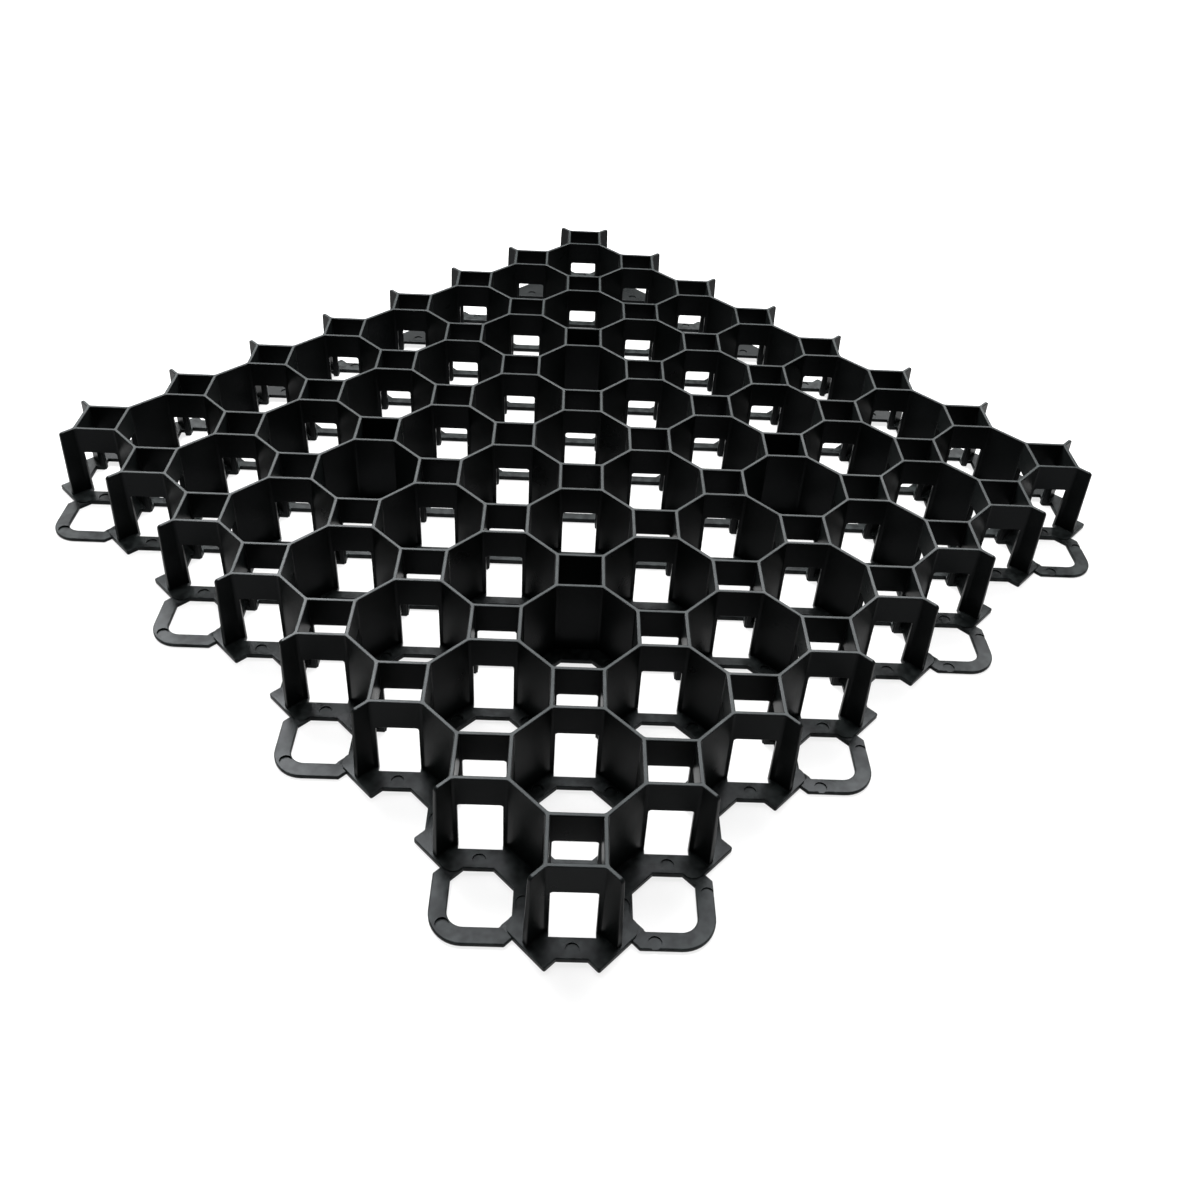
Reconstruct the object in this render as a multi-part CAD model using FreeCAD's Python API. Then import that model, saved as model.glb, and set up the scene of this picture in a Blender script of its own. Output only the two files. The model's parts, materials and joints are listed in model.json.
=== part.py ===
"""Grass paver grid: one moulded lattice of octagon and square cells on a flanged foot, in millimetres.

Z is up and the foot lies on Z = 0. X and Y run along the two edges of the grid.
The square cells stand corner-on to those edges, so the octagon cells share straight walls along X and Y.
"""

import FreeCAD
import Part
import math
import os

# Lattice
PITCH = 62.5
SQUARES_PER_SIDE = 8
SQUARE_SIDE = 25.9
HEIGHT = 50.0

# Walls lean in towards the top so that the moulding leaves its mould
WALL_AT_FOOT = 3.2
WALL_AT_RIM = 2.2
STUB_AT_FOOT = 11.6
STUB_AT_RIM = 9.7
STUB_CORNER_RADIUS = 2.0

# Foot flange
FLANGE_THICKNESS = 3.2
CELL_HOLE_FLATS = 42.2
EDGE_HOLE_FLATS = 33.8
EDGE_GAP = 0.25

# Windows in the walls of the square cells, each running on as a slot in the flange
WINDOW_WIDTH = 21.2
WINDOW_TOP = 32.0
SLOT_DEPTH = 2.2
CLOSED_SQUARES = (2, 5)

# Connector rings on the two front edges and the raised plates that lie over a neighbour's rings
RING_STEP = 2
RING_THICKNESS = 2.4
RING_REACH = 21.0
RING_BAR = 8.4
RING_WIDTH = 49.8
RING_INNER_RADIUS = 8.0
RING_TO_PLATE_GAP = 0.4
RAISED_PLATE_THICKNESS = 2.4

# Sizes that follow from those above
LAST = (SQUARES_PER_SIDE - 1) * PITCH
HALF_DIAGONAL = SQUARE_SIDE / math.sqrt(2)
CELL_TO_SQUARE_WALL = PITCH / math.sqrt(2) - SQUARE_SIDE / 2
EDGE_HOLE_APOTHEM = EDGE_HOLE_FLATS / 2
FRONT_EDGE = -PITCH / 2
BACK_EDGE = LAST + PITCH / 2 - EDGE_GAP
RING_OUTER_RADIUS = RING_INNER_RADIUS + RING_BAR
RING_TIP = FRONT_EDGE - RING_REACH * math.sqrt(2) + RING_OUTER_RADIUS * (math.sqrt(2) - 1)
STUB_END = LAST + HALF_DIAGONAL + STUB_AT_FOOT
RAISED_PLATE_FOOT = RING_THICKNESS + RING_TO_PLATE_GAP
CUT_OVERRUN = 1.0


def prism(points, bottom, top):
    """A straight prism on a closed run of (x, y) points."""
    corners = [FreeCAD.Vector(x, y, bottom) for x, y in points]
    face = Part.Face(Part.makePolygon(corners + corners[:1]))
    return face.extrude(FreeCAD.Vector(0, 0, top - bottom))


def tapered(low_points, high_points, bottom, top):
    """A prism with flat sides whose section changes evenly from low_points to high_points."""
    low = [FreeCAD.Vector(x, y, bottom) for x, y in low_points]
    high = [FreeCAD.Vector(x, y, top) for x, y in high_points]
    outlines = [low[::-1], high]
    for k in range(len(low)):
        outlines.append([low[k - 1], low[k], high[k], high[k - 1]])
    faces = [Part.Face(Part.makePolygon(corners + corners[:1])) for corners in outlines]
    return Part.makeSolid(Part.makeShell(faces))


def octagon(centre, to_straight_sides, to_slanted_sides):
    """Corners of an octagon from its distances to the sides along X and Y and to the sides between them."""
    short = to_slanted_sides * math.sqrt(2) - to_straight_sides
    long = to_straight_sides
    around = [(long, -short), (long, short), (short, long), (-short, long)]
    around += [(-x, -y) for x, y in around]
    return [(centre[0] + x, centre[1] + y) for x, y in around]


def diamond(centre, apothem):
    """Corners of a square that stands on its corner."""
    reach = apothem * math.sqrt(2)
    return [
        (centre[0] + reach, centre[1]),
        (centre[0], centre[1] + reach),
        (centre[0] - reach, centre[1]),
        (centre[0], centre[1] - reach),
    ]


def square_between(near, far):
    """Corners of a square with sides along X and Y."""
    return [(near, near), (far, near), (far, far), (near, far)]


def turned(points, centre, angle):
    """Points turned about the origin by an angle in degrees, then moved to a centre."""
    c = math.cos(math.radians(angle))
    s = math.sin(math.radians(angle))
    return [(centre[0] + c * x - s * y, centre[1] + s * x + c * y) for x, y in points]


def square_centres():
    for i in range(SQUARES_PER_SIDE):
        for j in range(SQUARES_PER_SIDE):
            yield i, j


def octagon_cells():
    """Index pairs of every octagon, with the half cells along the edges as -1 and the last."""
    for i in range(-1, SQUARES_PER_SIDE):
        for j in range(-1, SQUARES_PER_SIDE):
            yield i, j


def cell_centre(i, j):
    return ((i + 0.5) * PITCH, (j + 0.5) * PITCH)


def is_closed(i, j):
    """Squares whose four walls have no window."""
    return i in CLOSED_SQUARES and j in CLOSED_SQUARES


def is_whole(i, j):
    """Octagons with walls all round, inside the outermost squares."""
    last = SQUARES_PER_SIDE - 1
    return 0 <= i < last and 0 <= j < last


def wall_half(level):
    """Half the wall thickness at a height."""
    share = level / HEIGHT
    return (WALL_AT_FOOT + (WALL_AT_RIM - WALL_AT_FOOT) * share) / 2


def cell_octagon(i, j, level):
    half = wall_half(level)
    return octagon(cell_centre(i, j), PITCH / 2 - half, CELL_TO_SQUARE_WALL - half)


def square_hollow(i, j, level):
    return diamond((i * PITCH, j * PITCH), SQUARE_SIDE / 2 - wall_half(level))


def blank():
    """The outside of the walls, leaning in towards the rim, on the full plate of the flange."""
    outlines = []
    for stub in (STUB_AT_FOOT, STUB_AT_RIM):
        near = -HALF_DIAGONAL - stub
        far = LAST + HALF_DIAGONAL + stub
        outlines.append(square_between(near, far))
    walls = tapered(outlines[0], outlines[1], 0, HEIGHT)
    rim = [e for e in walls.Edges if e.BoundBox.ZMin > HEIGHT - 1e-6]
    walls = walls.makeFillet(STUB_CORNER_RADIUS, rim)
    return walls.fuse(prism(square_between(FRONT_EDGE, BACK_EDGE), 0, FLANGE_THICKNESS))


def cell_hollows():
    """Every octagon above the flange and every square down through it."""
    over = HEIGHT + CUT_OVERRUN
    under = -CUT_OVERRUN
    tools = []
    for i, j in octagon_cells():
        low = cell_octagon(i, j, FLANGE_THICKNESS)
        tools.append(tapered(low, cell_octagon(i, j, over), FLANGE_THICKNESS, over))
    for i, j in square_centres():
        tools.append(tapered(square_hollow(i, j, under), square_hollow(i, j, over), under, over))
    return tools


def carries_raised_plate(i, j):
    """Back edge cells that lie over a ring of the next grid."""
    last = SQUARES_PER_SIDE - 1
    on_x_edge = i == last and 0 <= j < last and j % RING_STEP == 0
    on_y_edge = j == last and 0 <= i < last and i % RING_STEP == 0
    return on_x_edge or on_y_edge


def flange_holes():
    """Octagon holes through the flange; the cells of the raised plates lose the whole flange."""
    tools = []
    for i, j in octagon_cells():
        if carries_raised_plate(i, j):
            outline = cell_octagon(i, j, FLANGE_THICKNESS)
        else:
            apothem = CELL_HOLE_FLATS / 2 if is_whole(i, j) else EDGE_HOLE_APOTHEM
            outline = octagon(cell_centre(i, j), apothem, apothem)
        tools.append(prism(outline, -CUT_OVERRUN, FLANGE_THICKNESS + CUT_OVERRUN))
    return tools


def window_cuts():
    """A cross through each square cell; its arms open the walls and run on into the flange."""
    reach = SQUARE_SIDE / 2 + WALL_AT_FOOT / 2 + SLOT_DEPTH
    inside = SQUARE_SIDE / 2 - WALL_AT_FOOT
    half = WINDOW_WIDTH / 2
    tools = []
    strip = [(inside, -half), (reach, -half), (reach, half), (inside, half)]
    for i, j in square_centres():
        if not is_closed(i, j):
            for angle in (45, 135, 225, 315):
                arm = turned(strip, (i * PITCH, j * PITCH), angle)
                tools.append(prism(arm, -CUT_OVERRUN, WINDOW_TOP))
    return tools


def rounded_run(points, corner, radius):
    """A wire through points with the one at index corner rounded to a radius."""
    vectors = [FreeCAD.Vector(x, y, 0) for x, y in points]
    before, at, after = vectors[corner - 1], vectors[corner], vectors[corner + 1]
    back = (before - at).normalize()
    on = (after - at).normalize()
    half_angle = back.getAngle(on) / 2
    start = at + back * (radius / math.tan(half_angle))
    end = at + on * (radius / math.tan(half_angle))
    middle_way = (back + on).normalize()
    centre = at + middle_way * (radius / math.sin(half_angle))
    middle = centre - middle_way * radius
    edges = [Part.makeLine(vectors[k], vectors[k + 1]) for k in range(corner - 1)]
    edges.append(Part.makeLine(before, start))
    edges.append(Part.Arc(start, middle, end).toShape())
    edges.append(Part.makeLine(end, after))
    edges += [Part.makeLine(vectors[k], vectors[k + 1]) for k in range(corner + 1, len(vectors) - 1)]
    edges.append(Part.makeLine(vectors[-1], vectors[0]))
    return Part.Wire(edges)


def ring_outline(side_offset, half_width, inset, radius):
    """Half loop reaching out along -X from the line X = 0: two slanted sides that meet in a round corner."""
    tip = side_offset * math.sqrt(2)
    shoulder = half_width - tip
    far_side = [(inset, half_width), (shoulder, half_width)]
    near_side = [(shoulder, -half_width), (inset, -half_width)]
    return rounded_run(far_side + [(-tip, 0)] + near_side, len(far_side), radius)


def ring():
    """One connector ring in its own place, centred on the edge line and reaching out along -X."""
    hole_corner = EDGE_HOLE_APOTHEM * math.tan(math.radians(22.5))
    outer = ring_outline(RING_REACH, RING_WIDTH / 2, hole_corner / 2, RING_OUTER_RADIUS)
    inner = ring_outline(RING_REACH - RING_BAR, EDGE_HOLE_APOTHEM, hole_corner, RING_INNER_RADIUS)
    depth = FreeCAD.Vector(0, 0, RING_THICKNESS)
    return Part.Face(outer).extrude(depth).cut(Part.Face(inner).extrude(depth))


def rings():
    """Rings on every second cell of the two front edges, the second edge mirrored from the first."""
    shapes = []
    for k in range(0, SQUARES_PER_SIDE - 1, RING_STEP):
        along = (k + 0.5) * PITCH
        on_x_edge = ring()
        on_x_edge.translate(FreeCAD.Vector(FRONT_EDGE, along, 0))
        on_y_edge = ring()
        on_y_edge.rotate(FreeCAD.Vector(0, 0, 0), FreeCAD.Vector(0, 0, 1), 90)
        on_y_edge.translate(FreeCAD.Vector(along, FRONT_EDGE, 0))
        shapes += [on_x_edge, on_y_edge]
    return shapes


def raised_plates():
    """Plates over the back edge cells that take a ring, out to the edge line."""
    top = RAISED_PLATE_FOOT + RAISED_PLATE_THICKNESS
    inside = prism(square_between(0, BACK_EDGE), 0, HEIGHT)
    shapes = []
    for i, j in octagon_cells():
        if carries_raised_plate(i, j):
            half = wall_half(HEIGHT)
            outline = octagon(cell_centre(i, j), PITCH / 2 - half, CELL_TO_SQUARE_WALL - half)
            shapes.append(prism(outline, RAISED_PLATE_FOOT, top).common(inside))
    return shapes


def build():
    body = blank()
    body = body.cut(Part.makeCompound(cell_hollows()))
    body = body.cut(Part.makeCompound(flange_holes()))
    body = body.fuse(raised_plates())
    body = body.cut(Part.makeCompound(window_cuts()))
    body = body.fuse(rings())
    body = body.removeSplitter()
    middle = (RING_TIP + max(BACK_EDGE, STUB_END)) / 2
    body.translate(FreeCAD.Vector(-middle, -middle, 0))
    return body


os.makedirs("parts", exist_ok=True)
grid = build()
solids = grid.Solids
if len(solids) != 1 or not grid.isValid():
    raise RuntimeError("the grid did not come out as one sound solid")
solids[0].exportStep("parts/paver_grid.step")
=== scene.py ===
"""Looks of a moulded grass paver grid, laid out as an add-on with one operator for each piece."""

import json
import math

import bmesh
import bpy
from bpy.props import FloatProperty, FloatVectorProperty, IntProperty, PointerProperty
from mathutils import Matrix, Vector


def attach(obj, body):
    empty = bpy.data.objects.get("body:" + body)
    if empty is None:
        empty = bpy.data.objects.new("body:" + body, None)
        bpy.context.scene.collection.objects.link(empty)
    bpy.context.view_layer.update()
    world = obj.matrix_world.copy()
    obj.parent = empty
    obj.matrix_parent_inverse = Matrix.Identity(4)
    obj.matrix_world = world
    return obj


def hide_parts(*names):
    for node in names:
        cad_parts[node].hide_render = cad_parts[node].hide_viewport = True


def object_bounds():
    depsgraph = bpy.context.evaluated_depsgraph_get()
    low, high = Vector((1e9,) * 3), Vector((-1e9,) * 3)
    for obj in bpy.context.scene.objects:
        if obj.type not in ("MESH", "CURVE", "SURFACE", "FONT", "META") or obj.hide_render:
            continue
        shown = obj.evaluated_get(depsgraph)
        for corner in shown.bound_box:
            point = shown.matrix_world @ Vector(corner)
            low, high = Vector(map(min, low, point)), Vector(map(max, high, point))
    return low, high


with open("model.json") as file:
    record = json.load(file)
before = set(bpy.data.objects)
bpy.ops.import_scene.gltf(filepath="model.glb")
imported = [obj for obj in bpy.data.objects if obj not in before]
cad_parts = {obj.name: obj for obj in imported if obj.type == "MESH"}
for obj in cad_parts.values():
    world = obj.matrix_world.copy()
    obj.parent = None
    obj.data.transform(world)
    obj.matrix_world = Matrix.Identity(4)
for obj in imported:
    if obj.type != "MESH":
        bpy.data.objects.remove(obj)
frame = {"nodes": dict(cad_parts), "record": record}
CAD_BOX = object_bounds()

bl_info = {
    "name": "Grass Paver Grid",
    "version": (1, 0, 0),
    "blender": (4, 5, 0),
    "location": "View3D > Sidebar > Paver Grid",
    "description": "Dresses a moulded grass paver grid and sets it on a plain stage",
    "category": "Object",
}

MM = 0.001
GRID_NODE = "paver_grid"


def linear(code):
    """An sRGB hex code as linear red, green and blue, by the sRGB standard's own curve."""
    shares = [int(code[k:k + 2], 16) / 255 for k in (1, 3, 5)]
    return [s / 12.92 if s <= 0.04045 else ((s + 0.055) / 1.055) ** 2.4 for s in shares]


def opening_centre(name):
    """Middle of one of the record's openings."""
    for opening in frame["record"]["physics"]["openings"]:
        if opening["name"] == name:
            low, high = opening["box_m"]
            return (Vector(low) + Vector(high)) / 2
    raise KeyError(name)


# Layout of the grid. The opening octagon_2_0 lies two cells along from octagon_0_0.
FIRST_CELL = opening_centre("octagon_0_0")
PITCH = (opening_centre("octagon_2_0").x - FIRST_CELL.x) / 2
CELLS = 7
RING_STEP = 2
EDGE_HOLE_APOTHEM = 16.9 * MM

# From the middle of a ring's cell to its pin marks: one on the -X edge, a mirrored pair on the -Y edge.
RING_PIN_X = Vector((-18.1, 1.8, 0)) * MM
RING_PIN_Y = Vector((18.0, -7.5, 0)) * MM
MIRROR_X = Vector((-1, 1, 1))

# Points this close are one point, and faces this near to flat are one face.
WELD_DISTANCE = 0.01 * MM
FLAT_ANGLE = math.radians(0.2)

# Outward edges that turn by more than the first angle are rounded, and shading breaks at the second.
SHARP_ANGLE = math.radians(30)
CREASE_ANGLE = math.radians(20)

# Corner edges of a cell rise by more than this share of their length and are longer than this.
STEEP_SHARE = 0.9
TALL_EDGE = 20 * MM

# Turns in degrees: between walls of an octagon or a square, the least at the flange's tips, and the slack.
OCTAGON_TURN = 45
SQUARE_TURN = 90
TIP_TURN = 80
TURN_SLACK = 3

# Flats across a fillet and across an edge rounding, and the bevel's value for a round profile.
FILLET_STEPS = 3
EDGE_STEPS = 2
ROUND_PROFILE = 0.5

# The cuts at the lap corners reach past the flange's outline and start just above the rings.
CUT_MARGIN = 0.5 * MM
LAP_LIFT = 0.01 * MM
LAP_SIDES = 6

# Light panels: place from the grid's middle, and width and height, in metres.
BACK_PLACE, BACK_SIZE = Vector((0.52, 0.62, 1.24)), (2.1, 1.5)
LEFT_PLACE, LEFT_SIZE = Vector((0.21, 0.92, 1.23)), (0.6, 0.6)
RIGHT_PLACE, RIGHT_SIZE = Vector((0.95, 0.16, 1.22)), (0.6, 0.6)
TOP_PLACE, TOP_SIZE = Vector((0.0, 0.0, 2.2)), (1.2, 1.2)
SENSOR_WIDTH = 36.0

# Noise patterns of the plastic: size on the grid and levels of detail. The real grain and draw lines are
# finer than a pixel of the render, so both are drawn coarser here, to show.
PATTERNS = {
    "cloud": (30 * MM, 3.0),
    # The next two noises break up the rim's rubbing with its painted highlight, and the foot's streaks with
    # their painted sheen.
    "rub_and_highlight": (7 * MM, 4.0),
    "flow_and_sheen": (5 * MM, 1.0),
    "grain": (1.3 * MM, 2.0),
}
LINE_WIDTH, LINE_LENGTH, LINE_DETAIL = 1.6 * MM, 45 * MM, 2.0

# Strength and depth of the relief that each pattern gives.
RELIEF = {
    "cloud": (0.3, 0.4 * MM),
    "lines": (0.12, 0.15 * MM),
    "grain": (0.10, 0.08 * MM),
}

# The rim's rubbing and painted highlight start and are full at these depths under the rim. The foot's
# streaks and painted sheen fade out above the flange.
RUB_AND_HIGHLIGHT_START, RUB_AND_HIGHLIGHT_FULL = 0.06 * MM, 0.01 * MM
STREAK_AND_SHEEN_FADE = 0.5 * MM

# The span of noise that an effect takes, and the least and most that it gives. Height gives all or none.
FULL_SHARE = (0.0, 1.0)
# Spans for the rim's rubbing with painted highlight, then for the foot's streaks with painted sheen.
RUBBED_AND_HIGHLIGHT_NOISE, RUBBED_AND_HIGHLIGHT_SHARE = (0.25, 0.7), (0.35, 1.0)
STREAKED_AND_SHEEN_NOISE, STREAKED_AND_SHEEN_SHARE = (0.35, 0.65), (0.0, 0.8)
ROUGH_NOISE, ROUGHNESS = (0.3, 0.7), (0.26, 0.40)

# Constant values of the plastic's and the floor's shaders. The low gloss keeps the walls near black.
POLYPROPYLENE_IOR = 1.49
POLYPROPYLENE_GLOSS = 0.052
GLOSS_TINT = "#f6f9ff"
SANDED_ROUGHNESS = 0.9
WHITE = "#ffffff"

# Places of the colour sockets among a Mix node's inputs and outputs.
MIX_FIRST, MIX_SECOND, MIX_RESULT = 6, 7, 2


class MouldingSettings(bpy.types.PropertyGroup):
    """Roundings, pin marks and colours of the moulded grid."""

    cell_corner: FloatProperty(
        name="Octagon corner radius",
        description="Fillet up the corners of the octagon cells",
        default=2.5 * MM,
        unit="LENGTH",
    )
    square_corner: FloatProperty(
        name="Square corner radius",
        description="Fillet up the corners of the square cells",
        default=0.25 * MM,
        unit="LENGTH",
    )
    edge_round: FloatProperty(
        name="Edge rounding",
        description="Rounding along every outer edge",
        default=0.5 * MM,
        unit="LENGTH",
    )
    window_corner: FloatProperty(
        name="Window corner radius",
        description="Fillet in the upper corners of the windows",
        default=1.5 * MM,
        unit="LENGTH",
    )
    tip_round: FloatProperty(
        name="Flange tip rounding",
        description="Rounding of the flange's points along the front edges",
        default=1.0 * MM,
        unit="LENGTH",
    )
    lap_round: FloatProperty(
        name="Lap rounding",
        description="Rounding of the flange's corners where they end above a ring",
        default=7.0 * MM,
        unit="LENGTH",
    )
    pin_diameter: FloatProperty(
        name="Pin mark diameter",
        description="Round marks that the ejector pins leave on the flange",
        default=6.5 * MM,
        unit="LENGTH",
    )
    pin_depth: FloatProperty(
        name="Pin mark depth",
        description="How far a pin mark is sunk into the flange",
        default=0.7 * MM,
        unit="LENGTH",
    )
    deep_pin_depth: FloatProperty(
        name="Deep pin mark depth",
        description="How far a pin mark is sunk into the rings of the -X edge",
        default=1.1 * MM,
        unit="LENGTH",
    )
    pin_sides: IntProperty(name="Pin mark sides", description="Sides of a pin mark", default=24, min=8)
    inner_pin_reach: FloatProperty(
        name="Inner pin reach",
        description="From the middle of a whole octagon cell to the pin marks on its straight sides",
        default=25.9 * MM,
        unit="LENGTH",
    )
    edge_pin_reach: FloatProperty(
        name="Edge pin reach",
        description="From the middle of a half cell at the edge to the pin marks on its slanted sides",
        default=21.5 * MM,
        unit="LENGTH",
    )
    flange_top: FloatProperty(
        name="Flange top",
        description="Height of the flange's upper face",
        default=3.2 * MM,
        unit="LENGTH",
    )
    ring_top: FloatProperty(
        name="Ring top",
        description="Height of the connector rings' upper face",
        default=2.4 * MM,
        unit="LENGTH",
    )
    plate_top: FloatProperty(
        name="Plate top",
        description="Height of the raised plates' upper face",
        default=5.2 * MM,
        unit="LENGTH",
    )
    plate_foot: FloatProperty(
        name="Plate underside",
        description="Height of the raised plates' underside, whose edges are left sharp",
        default=2.8 * MM,
        unit="LENGTH",
    )
    window_top: FloatProperty(
        name="Window top",
        description="Height of the windows' upper edge",
        default=32.0 * MM,
        unit="LENGTH",
    )
    plastic: FloatVectorProperty(
        name="Plastic",
        description="Colour of the plastic",
        subtype="COLOR",
        default=linear("#090b0b"),
    )
    # Lighter colour on the rim tops and on the flange and rings: partly real rubbing and streaks, partly a
    # painted highlight on the rim and painted sheen on the flange and rings.
    plastic_worn_and_painted_sheen: FloatVectorProperty(
        name="Rubbed plastic with painted highlight and sheen",
        description="Colour of the plastic where the rim is rubbed and the foot streaked",
        subtype="COLOR",
        default=linear("#1e2121"),
    )


class StageSettings(bpy.types.PropertyGroup):
    """Floor, lights and camera."""

    floor: FloatVectorProperty(
        name="Floor",
        description="Colour of the floor",
        subtype="COLOR",
        default=linear("#626262"),
    )
    floor_glow: FloatProperty(
        name="Floor glow",
        description="Strength of the light from under the floor",
        default=0.78,
    )
    floor_size: FloatProperty(
        name="Floor size",
        description="Side of the square floor",
        default=24.0,
        unit="LENGTH",
    )
    sky: FloatProperty(name="Sky", description="Strength of the even light from all round", default=0.2)
    back_power: FloatProperty(
        name="Back light",
        description="Power of the soft light over the far corner",
        default=138.0,
        unit="POWER",
    )
    left_power: FloatProperty(
        name="Left light",
        description="Power of the panel that the rings along the left edge mirror",
        default=46.0,
        unit="POWER",
    )
    right_power: FloatProperty(
        name="Right light",
        description="Power of the panel that the rings along the right edge mirror",
        default=20.0,
        unit="POWER",
    )
    top_power: FloatProperty(
        name="Top light",
        description="Power of the soft light overhead",
        default=8.0,
        unit="POWER",
    )
    camera_place: FloatVectorProperty(
        name="Camera place",
        description="Where the camera stands",
        subtype="TRANSLATION",
        default=(-430.50 * MM, -411.83 * MM, 463.35 * MM),
    )
    camera_heading: FloatProperty(
        name="Heading",
        description="Compass turn of the view from +Y towards +X",
        default=math.radians(46.893),
        unit="ROTATION",
    )
    camera_dip: FloatProperty(
        name="Dip",
        description="How far the camera looks down from the level",
        default=math.radians(36.010),
        unit="ROTATION",
    )
    camera_roll: FloatProperty(
        name="Roll",
        description="Tilt of the camera about its view",
        default=math.radians(3.327),
        unit="ROTATION",
    )
    lens: FloatProperty(name="Lens", description="Focal length on a 36 mm sensor, in mm", default=34.575)
    lens_drop: FloatProperty(
        name="Lens drop",
        description="Downward shift of the picture, as a share of its width",
        default=0.0968,
    )


def add_node(tree, kind, values=None, links=None, **settings):
    """A new node with its settings, its constant inputs and the outputs that feed it."""
    node = tree.nodes.new(kind)
    for name, value in settings.items():
        setattr(node, name, value)
    for socket, value in (values or {}).items():
        node.inputs[socket].default_value = value
    for socket, source in (links or {}).items():
        tree.links.new(source, node.inputs[socket])
    return node


def rgba(colour):
    """A linear colour with full opacity."""
    return (*colour, 1.0)


def new_material(name):
    """An empty material and its tree."""
    material = bpy.data.materials.new(name)
    material.use_nodes = True
    material.node_tree.nodes.clear()
    return material, material.node_tree


def moulded_polypropylene(settings):
    """Carbon-black polypropylene, injection moulded in a smooth steel mould.

    It is a near-black satin: broad soft reflections that drift in sharpness over a few centimetres,
    faint upright draw lines on the walls, a fine grain, a rim painted a little greyer than the rest,
    partly rubbing and partly a painted highlight, and grey streaks from the flowing melt on the flange
    and rings, partly real streaks and partly painted sheen.
    """
    material, tree = new_material("moulded_black_polypropylene")
    place = add_node(tree, "ShaderNodeTexCoord").outputs["Object"]
    height = add_node(tree, "ShaderNodeSeparateXYZ", links={"Vector": place}).outputs["Z"]

    pattern = {}
    for name, (size, detail) in PATTERNS.items():
        grade = {"Scale": 1 / size, "Detail": detail}
        pattern[name] = add_node(tree, "ShaderNodeTexNoise", grade, {"Vector": place}).outputs["Fac"]
    stretch = (1 / LINE_WIDTH, 1 / LINE_WIDTH, 1 / LINE_LENGTH)
    upright = add_node(tree, "ShaderNodeMapping", {"Scale": stretch}, {"Vector": place}).outputs["Vector"]
    grade = {"Scale": 1.0, "Detail": LINE_DETAIL}
    pattern["lines"] = add_node(tree, "ShaderNodeTexNoise", grade, {"Vector": upright}).outputs["Fac"]

    rim = CAD_BOX[1].z
    foot = settings.flange_top
    effect = {}
    for name, source, (low, high), (least, most) in (
        ("at_rim", height, (rim - RUB_AND_HIGHLIGHT_START, rim - RUB_AND_HIGHLIGHT_FULL), FULL_SHARE),
        ("at_foot", height, (foot + STREAK_AND_SHEEN_FADE, foot), FULL_SHARE),
        ("rubbed_and_highlit", pattern["rub_and_highlight"], RUBBED_AND_HIGHLIGHT_NOISE, RUBBED_AND_HIGHLIGHT_SHARE),
        ("streaked_and_sheened", pattern["flow_and_sheen"], STREAKED_AND_SHEEN_NOISE, STREAKED_AND_SHEEN_SHARE),
        ("rough", pattern["cloud"], ROUGH_NOISE, ROUGHNESS),
    ):
        span = {"From Min": low, "From Max": high, "To Min": least, "To Max": most}
        effect[name] = add_node(tree, "ShaderNodeMapRange", span, {"Value": source}).outputs["Result"]

    # The rim tops are painted lighter, partly for rubbing and partly as a painted highlight; the flange and
    # rings are painted lighter in streaks, partly real and partly painted sheen.
    rubbed_and_highlit_rim = add_node(
        tree, "ShaderNodeMath", links={0: effect["at_rim"], 1: effect["rubbed_and_highlit"]}, operation="MULTIPLY"
    ).outputs["Value"]
    streaked_and_sheened_foot = add_node(
        tree, "ShaderNodeMath", links={0: effect["at_foot"], 1: effect["streaked_and_sheened"]}, operation="MULTIPLY"
    ).outputs["Value"]
    worn_and_sheen = add_node(
        tree, "ShaderNodeMath", links={0: rubbed_and_highlit_rim, 1: streaked_and_sheened_foot}, operation="ADD"
    ).outputs["Value"]
    # This mix lays the real wear together with the painted rim highlight and the painted sheen on the flange
    # and rings.
    colour = add_node(
        tree,
        "ShaderNodeMix",
        {MIX_FIRST: rgba(settings.plastic), MIX_SECOND: rgba(settings.plastic_worn_and_painted_sheen)},
        {"Factor": worn_and_sheen},
        data_type="RGBA",
    ).outputs[MIX_RESULT]

    relief = {}
    for name, (strength, depth) in RELIEF.items():
        bump = add_node(
            tree,
            "ShaderNodeBump",
            {"Strength": strength, "Distance": depth},
            {"Height": pattern[name], **relief},
        )
        relief = {"Normal": bump.outputs["Normal"]}
    shader = add_node(
        tree,
        "ShaderNodeBsdfPrincipled",
        {
            "IOR": POLYPROPYLENE_IOR,
            "Specular IOR Level": POLYPROPYLENE_GLOSS,
            "Specular Tint": rgba(linear(GLOSS_TINT)),
        },
        {"Base Color": colour, "Roughness": effect["rough"], **relief},
    )
    add_node(tree, "ShaderNodeOutputMaterial", links={"Surface": shader.outputs["BSDF"]})
    return material


def opal_acrylic(settings):
    """Opal acrylic sheet, cast and sanded matt. Lit from below, as on a light table, it is an even white."""
    material, tree = new_material("sanded_opal_acrylic")
    shader = add_node(
        tree,
        "ShaderNodeBsdfPrincipled",
        {
            "Base Color": rgba(settings.floor),
            "Roughness": SANDED_ROUGHNESS,
            "Emission Color": rgba(linear(WHITE)),
            "Emission Strength": settings.floor_glow,
        },
    )
    add_node(tree, "ShaderNodeOutputMaterial", links={"Surface": shader.outputs["BSDF"]})
    return material


def turns_by(edge, turn):
    """Whether the faces at an edge turn by about an angle in degrees."""
    return abs(math.degrees(edge.calc_face_angle()) - turn) < TURN_SLACK


def upright_corners(bm, turn):
    """Inner corner edges that run up a cell, between walls that turn by an angle in degrees."""
    found = []
    for edge in bm.edges:
        run = edge.verts[1].co - edge.verts[0].co
        steep = abs(run.z) > STEEP_SHARE * run.length and run.length > TALL_EDGE
        if steep and not edge.is_convex and turns_by(edge, turn):
            found.append(edge)
    return found


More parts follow.
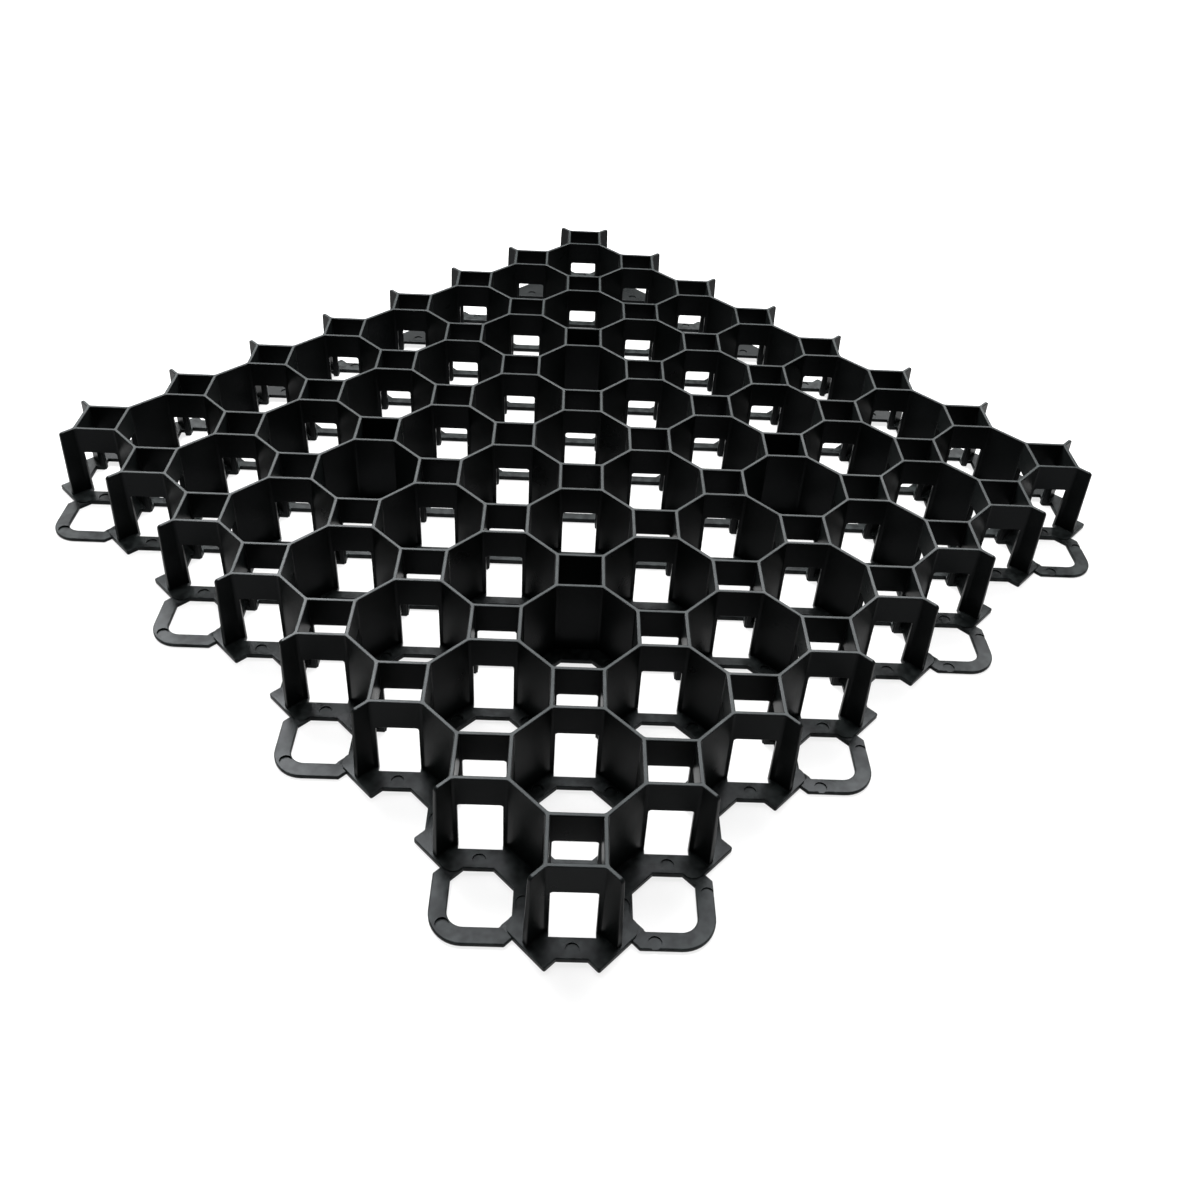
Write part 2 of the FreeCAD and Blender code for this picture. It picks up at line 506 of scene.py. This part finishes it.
def window_corners(bm, level):
    """Upper corner edges of the windows, which run through the wall at one height."""
    found = []
    for edge in bm.edges:
        level_run = max(abs(vert.co.z - level) for vert in edge.verts) < WELD_DISTANCE
        if level_run and not edge.is_convex and turns_by(edge, SQUARE_TURN):
            found.append(edge)
    return found


def flange_tips(bm, level):
    """Upright edges at the points of the flange, from the ground to its upper face."""
    found = []
    for edge in bm.edges:
        low, high = sorted(edge.verts, key=lambda vert: vert.co.z)
        upright = (high.co.xy - low.co.xy).length < WELD_DISTANCE
        full = abs(low.co.z) < WELD_DISTANCE and abs(high.co.z - level) < WELD_DISTANCE
        if upright and full and edge.is_convex and math.degrees(edge.calc_face_angle()) > TIP_TURN:
            found.append(edge)
    return found


def outer_edges(bm, left_sharp):
    """Every outward edge, apart from those that lie at one height."""
    found = []
    for edge in bm.edges:
        lies_there = all(abs(vert.co.z - left_sharp) < WELD_DISTANCE for vert in edge.verts)
        if edge.is_convex and edge.calc_face_angle() > SHARP_ANGLE and not lies_there:
            found.append(edge)
    return found


def round_edges(bm, edges, offset, steps):
    """Rounds edges over a distance on each side of them."""
    bmesh.ops.bevel(
        bm,
        geom=edges,
        offset=offset,
        segments=steps,
        profile=ROUND_PROFILE,
        affect="EDGES",
        clamp_overlap=False,
    )


def split_into_tiles(bm):
    """Cuts the mesh through every cell and square centre, so that each flat face has a small outline."""
    for axis, first in ((Vector((1, 0, 0)), FIRST_CELL.x), (Vector((0, 1, 0)), FIRST_CELL.y)):
        for k in range(-1, 2 * CELLS):
            cut = bmesh.ops.bisect_plane(
                bm,
                geom=bm.verts[:] + bm.edges[:] + bm.faces[:],
                dist=WELD_DISTANCE,
                plane_co=axis * (first + k * PITCH / 2),
                plane_no=axis,
            )
            for part in cut["geom_cut"]:
                if isinstance(part, bmesh.types.BMEdge):
                    part.seam = True


def rounded_grid(settings):
    """Mesh of the grid with its coplanar faces joined, its cell corners filleted and its edges rounded."""
    bm = bmesh.new()
    bm.from_mesh(frame["nodes"][GRID_NODE].data)
    bmesh.ops.remove_doubles(bm, verts=bm.verts, dist=WELD_DISTANCE)
    split_into_tiles(bm)
    bmesh.ops.dissolve_limit(bm, angle_limit=FLAT_ANGLE, verts=bm.verts, edges=bm.edges, delimit={"SEAM"})
    for turn, radius in ((OCTAGON_TURN, settings.cell_corner), (SQUARE_TURN, settings.square_corner)):
        offset = radius * math.tan(math.radians(turn / 2))
        round_edges(bm, upright_corners(bm, turn), offset, FILLET_STEPS)
    round_edges(bm, window_corners(bm, settings.window_top), settings.window_corner, FILLET_STEPS)
    round_edges(bm, flange_tips(bm, settings.flange_top), settings.tip_round, FILLET_STEPS)
    round_edges(bm, outer_edges(bm, settings.plate_foot), settings.edge_round, EDGE_STEPS)
    mesh = bpy.data.meshes.new("moulded_grid")
    bm.to_mesh(mesh)
    bm.free()
    return mesh


def cell_middle(i, j, level):
    """Middle of a cell at one height. Indices -1 and CELLS are the half cells along the edges."""
    middle = FIRST_CELL + Vector((i * PITCH, j * PITCH, 0))
    middle.z = level
    return middle


def ring_cells(level):
    """Middle of each edge cell that has a ring, at one height, and the way that the ring points."""
    for k in range(0, CELLS, RING_STEP):
        for i, j, outward in ((-1, k, Vector((-1, 0, 0))), (k, -1, Vector((0, -1, 0)))):
            yield cell_middle(i, j, level), outward


def has_plate(i, j):
    """Whether a half cell lies on a far edge, away from its ends, and carries a raised plate."""
    on_far_edge = CELLS in (i, j) and -1 not in (i, j) and i != j
    return on_far_edge and (i + j - CELLS) % RING_STEP == 0


def inward(index, step):
    """Sides of a cell that lie on the grid."""
    if index < 0:
        return [step]
    if index == CELLS:
        return [-step]
    return [-step, step]


def pin_places(settings):
    """Centre and depth of each pin mark on the tops of the flange, the raised plates and the rings."""
    reach = settings.inner_pin_reach
    slant = settings.edge_pin_reach / math.sqrt(2)
    for i in range(-1, CELLS + 1):
        for j in range(-1, CELLS + 1):
            if 0 <= i < CELLS and 0 <= j < CELLS:
                marks = [(reach, 0), (-reach, 0), (0, reach), (0, -reach)]
            else:
                marks = [(x, y) for x in inward(i, slant) for y in inward(j, slant)]
            middle = cell_middle(i, j, settings.plate_top if has_plate(i, j) else settings.flange_top)
            for x, y in marks:
                yield middle + Vector((x, y, 0)), settings.pin_depth
    for middle, outward in ring_cells(settings.ring_top):
        if outward.x:
            yield middle + RING_PIN_X, settings.deep_pin_depth
        else:
            yield middle + RING_PIN_Y, settings.pin_depth
            yield middle + RING_PIN_Y * MIRROR_X, settings.pin_depth


def add_lap_corner(bm, corner, along, across, radius, height):
    """A prism that fills a corner of the flange outside its rounding, from the corner's height upwards."""
    outline = [
        corner + along * radius - across * CUT_MARGIN,
        corner - (along + across) * CUT_MARGIN,
        corner + across * radius - along * CUT_MARGIN,
    ]
    middle = corner + (along + across) * radius
    for k in range(LAP_SIDES + 1):
        angle = math.pi / 2 * k / LAP_SIDES
        outline.append(middle - (along * math.cos(angle) + across * math.sin(angle)) * radius)
    base = bm.faces.new([bm.verts.new(point) for point in outline])
    raised = bmesh.ops.extrude_face_region(bm, geom=[base])["geom"]
    upper = [part for part in raised if isinstance(part, bmesh.types.BMVert)]
    bmesh.ops.translate(bm, verts=upper, vec=(0, 0, height))


def mould_cutter(settings):
    """One mesh of what the mould leaves out of the flange: pin marks and the corners above the rings."""
    bm = bmesh.new()
    radius = settings.pin_diameter / 2
    for place, depth in pin_places(settings):
        bmesh.ops.create_cone(
            bm,
            cap_ends=True,
            segments=settings.pin_sides,
            radius1=radius,
            radius2=radius,
            depth=2 * depth,
            matrix=Matrix.Translation(place),
        )
    for middle, outward in ring_cells(settings.ring_top + LAP_LIFT):
        for side in (-1, 1):
            across = Vector((outward.y, outward.x, 0)) * side
            corner = middle + across * EDGE_HOLE_APOTHEM
            add_lap_corner(bm, corner, -outward, across, settings.lap_round, settings.flange_top)
    bmesh.ops.recalc_face_normals(bm, faces=bm.faces)
    mesh = bpy.data.meshes.new("mould_cutter")
    bm.to_mesh(mesh)
    bm.free()
    return bpy.data.objects.new("mould_cutter", mesh)


class PAVER_OT_moulding(bpy.types.Operator):
    """Make the grid as it leaves the mould: rounded edges, pin marks and black plastic"""

    bl_idname = "paver.moulding"
    bl_label = "Moulded Grid"

    def execute(self, context):
        settings = context.scene.paver_moulding
        grid = bpy.data.objects.new("moulded_grid", rounded_grid(settings))
        context.scene.collection.objects.link(grid)
        cutter = mould_cutter(settings)
        context.scene.collection.objects.link(cutter)
        cut = grid.modifiers.new("mould_marks", "BOOLEAN")
        cut.object = cutter
        cut.operation = "DIFFERENCE"
        cut.solver = "EXACT"
        finished = bpy.data.meshes.new_from_object(grid.evaluated_get(context.evaluated_depsgraph_get()))
        grid.modifiers.clear()
        grid.data = finished
        bpy.data.objects.remove(cutter)
        if not finished.polygons:
            raise RuntimeError("the mould marks left no grid")
        finished.shade_smooth()
        finished.set_sharp_from_angle(angle=CREASE_ANGLE)
        grid.modifiers.new("even_normals", "WEIGHTED_NORMAL").keep_sharp = True
        finished.materials.append(moulded_polypropylene(settings))
        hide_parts(GRID_NODE)
        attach(grid, "root")
        return {"FINISHED"}


def soft_light(name, offset, size, power):
    """A soft light panel at an offset from the grid's middle, which it faces."""
    middle = (CAD_BOX[0] + CAD_BOX[1]) / 2
    place = middle + offset
    data = bpy.data.lights.new(name, "AREA")
    data.shape = "RECTANGLE"
    data.size, data.size_y = size
    data.energy = power
    light = bpy.data.objects.new(name, data)
    light.location = place
    light.rotation_euler = (middle - place).to_track_quat("-Z", "Y").to_euler()
    bpy.context.scene.collection.objects.link(light)


class PAVER_OT_stage(bpy.types.Operator):
    """Set the pale floor, the soft lights and the camera"""

    bl_idname = "paver.stage"
    bl_label = "Stage"

    def execute(self, context):
        settings = context.scene.paver_stage
        self.floor(context, settings)
        self.lights(context, settings)
        self.camera(context, settings)
        return {"FINISHED"}

    def floor(self, context, settings):
        """The square floor under the grid."""
        half = settings.floor_size / 2
        level = CAD_BOX[0].z
        corners = [(-half, -half, level), (half, -half, level), (half, half, level), (-half, half, level)]
        mesh = bpy.data.meshes.new("floor")
        mesh.from_pydata(corners, [], [(0, 1, 2, 3)])
        mesh.materials.append(opal_acrylic(settings))
        floor = bpy.data.objects.new("floor", mesh)
        context.scene.collection.objects.link(floor)

    def lights(self, context, settings):
        """The even sky and the soft light panels."""
        world = bpy.data.worlds.new("even_sky")
        world.use_nodes = True
        background = world.node_tree.nodes["Background"]
        background.inputs["Color"].default_value = rgba(linear(WHITE))
        background.inputs["Strength"].default_value = settings.sky
        context.scene.world = world
        soft_light("back_softbox", BACK_PLACE, BACK_SIZE, settings.back_power)
        soft_light("left_softbox", LEFT_PLACE, LEFT_SIZE, settings.left_power)
        soft_light("right_softbox", RIGHT_PLACE, RIGHT_SIZE, settings.right_power)
        soft_light("top_softbox", TOP_PLACE, TOP_SIZE, settings.top_power)
        context.scene.view_settings.view_transform = "Standard"

    def camera(self, context, settings):
        """The camera at the photo's viewing angle."""
        heading, dip, roll = settings.camera_heading, settings.camera_dip, settings.camera_roll
        ahead = Vector(
            (math.sin(heading) * math.cos(dip), math.cos(heading) * math.cos(dip), -math.sin(dip))
        )
        level_right = Vector((math.cos(heading), -math.sin(heading), 0))
        level_up = level_right.cross(ahead)
        right = level_right * math.cos(roll) + level_up * math.sin(roll)
        up = right.cross(ahead)
        data = bpy.data.cameras.new("photo_camera")
        data.lens = settings.lens
        data.sensor_width = SENSOR_WIDTH
        data.shift_y = -settings.lens_drop
        camera = bpy.data.objects.new("photo_camera", data)
        turn = Matrix((right, up, -ahead)).transposed().to_4x4()
        camera.matrix_world = Matrix.Translation(settings.camera_place) @ turn
        context.scene.collection.objects.link(camera)
        context.scene.camera = camera


class PAVER_PT_panel(bpy.types.Panel):
    """Sidebar panel with the grid's settings and operators"""

    bl_label = "Paver Grid"
    bl_idname = "PAVER_PT_panel"
    bl_space_type = "VIEW_3D"
    bl_region_type = "UI"
    bl_category = "Paver Grid"

    def draw(self, context):
        for operator, settings in (
            (PAVER_OT_moulding, context.scene.paver_moulding),
            (PAVER_OT_stage, context.scene.paver_stage),
        ):
            box = self.layout.box()
            for name in settings.__annotations__:
                box.prop(settings, name)
            box.operator(operator.bl_idname)


CLASSES = (MouldingSettings, StageSettings, PAVER_OT_moulding, PAVER_OT_stage, PAVER_PT_panel)


def register():
    for cls in CLASSES:
        bpy.utils.register_class(cls)
    bpy.types.Scene.paver_moulding = PointerProperty(type=MouldingSettings)
    bpy.types.Scene.paver_stage = PointerProperty(type=StageSettings)


def unregister():
    del bpy.types.Scene.paver_stage
    del bpy.types.Scene.paver_moulding
    for cls in reversed(CLASSES):
        bpy.utils.unregister_class(cls)


def main():
    register()
    bpy.ops.paver.moulding()
    bpy.ops.paver.stage()


if __name__ == "__main__":
    main()
